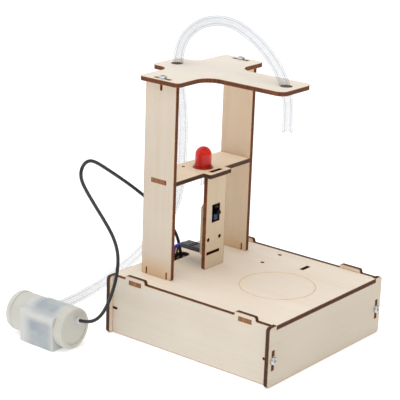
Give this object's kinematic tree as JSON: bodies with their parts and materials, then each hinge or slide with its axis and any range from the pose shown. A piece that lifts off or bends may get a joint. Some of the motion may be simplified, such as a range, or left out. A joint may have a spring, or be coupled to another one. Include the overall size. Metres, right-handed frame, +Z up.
{
  "type": "automatic water dispenser kit",
  "caption": "Laser-cut plywood dispenser stand: box base, two columns, sensor panel, red lamp, and a submersible pump that feeds a clear tube to an overhead spout.",
  "frame": {"origin": "centre of the base's footprint, on the surface the base stands on", "axes": "+Z up, -Y towards the front where the cup stands, +X to the right seen from the front"},
  "size_m": [0.155, 0.159, 0.1851],
  "materials": {
    "plywood": "bare laser-cut plywood, charred edges",
    "zinc": "zinc plated",
    "red_lens": "diffused",
    "tinned": "tinned",
    "gold_pin": "plated",
    "black_board": "solder mask",
    "foam": "matte",
    "dark_lens": "clear dark",
    "black_plastic": "moulded",
    "blue_plastic": "moulded",
    "white_plastic": "moulded",
    "milky_plastic": "translucent moulded",
    "soft_grey": "matte",
    "steel": "drawn",
    "ferrite": "sintered",
    "copper": "enamelled wire",
    "green_plastic": "moulded",
    "cell_wrap": "plain wrap",
    "clear_tube": "clear soft tube",
    "cable_black": "satin jacket",
    "wire_blue": "satin",
    "wire_purple": "satin",
    "wire_grey": "satin"
  },
  "bodies": {
    "stand": {"deck": "plywood", "front_panel": "plywood", "back_panel": "plywood", "left_side_panel": "plywood", "right_side_panel": "plywood", "left_column": "plywood", "right_column": "plywood", "shelf": "plywood", "top_plate": "plywood", "sensor_panel": "plywood", "base_screws": "zinc", "top_screws": "zinc", "led_lens": "red_lens", "led_leads": "tinned", "sensor_board": "black_board", "sensor_pad": "foam", "ir_emitter": "dark_lens", "ir_receiver": "dark_lens", "trimmer_body": "blue_plastic", "pin_header": "black_plastic", "header_pins": "gold_pin", "sensor_plug": "black_plastic", "battery_holder": "black_plastic", "batteries": "cell_wrap", "contact_plates": "tinned", "contact_springs": "tinned", "control_board": "black_board", "board_spacers": "white_plastic", "board_screws": "zinc", "driver_chip": "black_plastic", "power_transistor": "black_plastic", "capacitor": "cell_wrap", "sensor_socket": "white_plastic", "pump_terminal": "green_plastic", "switch_body": "steel", "pump_case": "milky_plastic", "pump_cap": "milky_plastic", "cable_gland": "soft_grey", "pump_volute": "milky_plastic", "inlet_cover": "milky_plastic", "motor_can": "steel", "motor_bell": "white_plastic", "motor_magnets": "ferrite", "shaft_seal": "soft_grey", "water_tube": "clear_tube", "pump_cable": "cable_black", "wire_left": "wire_blue", "wire_middle": "wire_purple", "wire_right": "wire_grey"},
    "pump_rotor": {"motor_shaft": "steel", "motor_rotor": "copper", "impeller": "white_plastic"},
    "trimmer_rotor": {"trimmer_rotor": "gold_pin"},
    "switch_slider": {"switch_slider": "black_plastic"}
  },
  "joints": [
    {"name": "rotor_spin", "type": "hinge", "parent": "stand", "child": "pump_rotor", "pos_m": [-0.087, 0.08, 0.0123], "axis": [0, 1, 0], "continuous": true},
    {"name": "trimmer_turn", "type": "hinge", "parent": "stand", "child": "trimmer_rotor", "pos_m": [0.0017, 0.025, 0.0651], "axis": [0, -1, 0], "range_deg": [-120, 120]},
    {"name": "power_switch", "type": "slide", "parent": "stand", "child": "switch_slider", "axis": [1, 0, 0], "range_m": [0, 0.002]}
  ]
}
